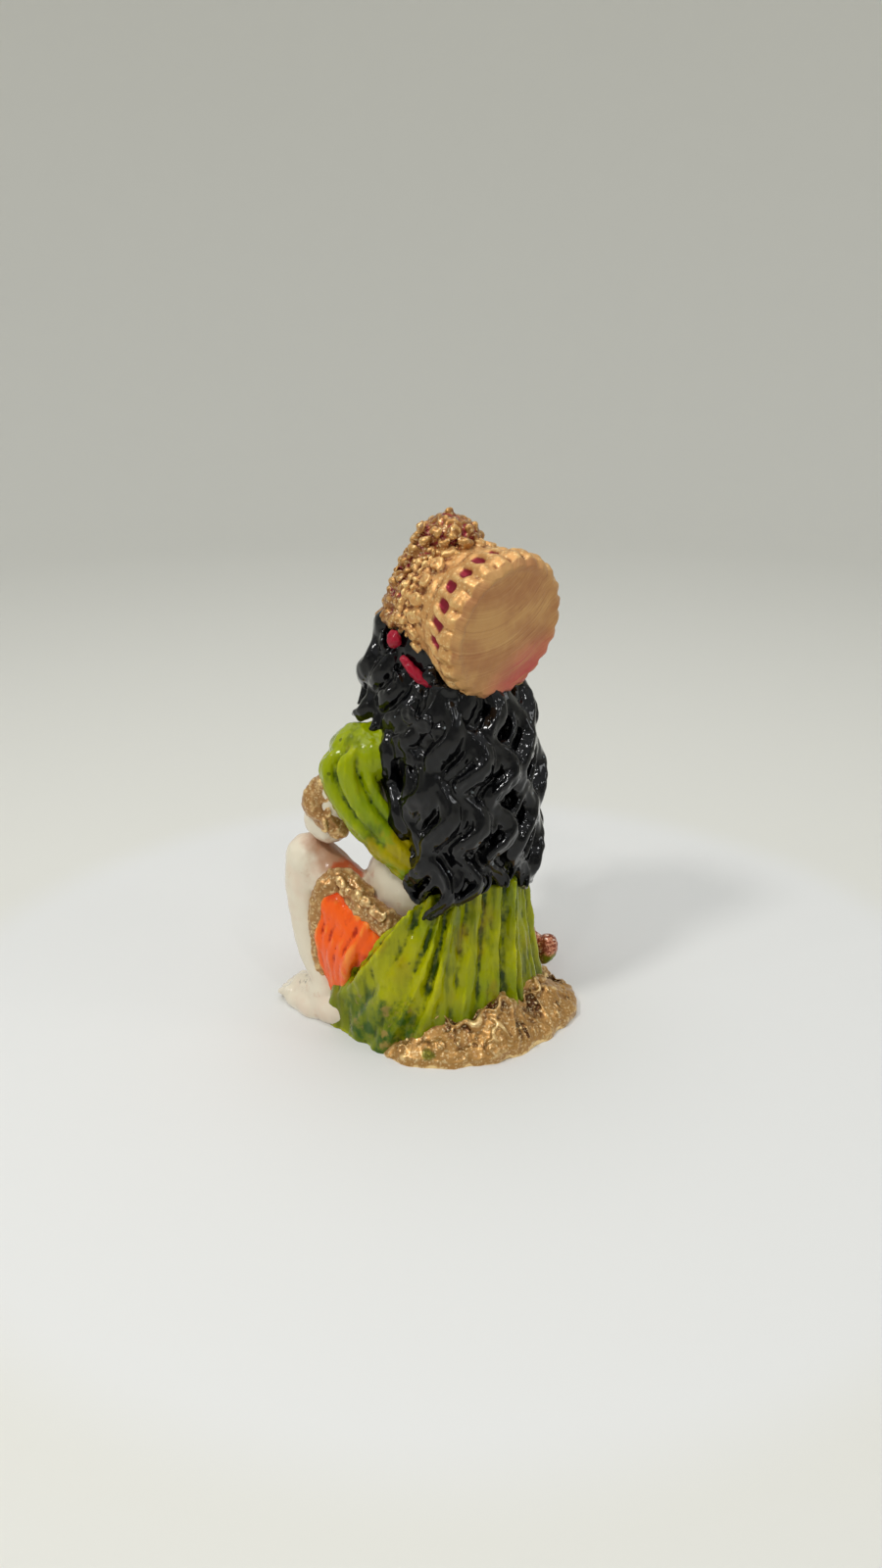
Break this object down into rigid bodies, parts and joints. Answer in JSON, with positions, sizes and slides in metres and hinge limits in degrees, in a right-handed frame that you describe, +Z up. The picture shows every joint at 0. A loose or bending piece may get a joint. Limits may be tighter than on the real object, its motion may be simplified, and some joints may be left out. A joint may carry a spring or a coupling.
{
  "type": "seated figurine",
  "caption": "Small painted resin statue of a seated Hanuman with raised knee, tall crown, round halo, long wavy hair and a draped shawl.",
  "frame": {"origin": "on the flat underside, below the figure's spine", "axes": "+Z up, the figure faces -Y, its left side is +X"},
  "size_m": [0.0503, 0.0524, 0.1],
  "materials": {
    "painted_resin": "hand-painted and varnished cast resin"
  },
  "bodies": {
    "root": {"hanuman_statue": "painted_resin"}
  },
  "joints": []
}
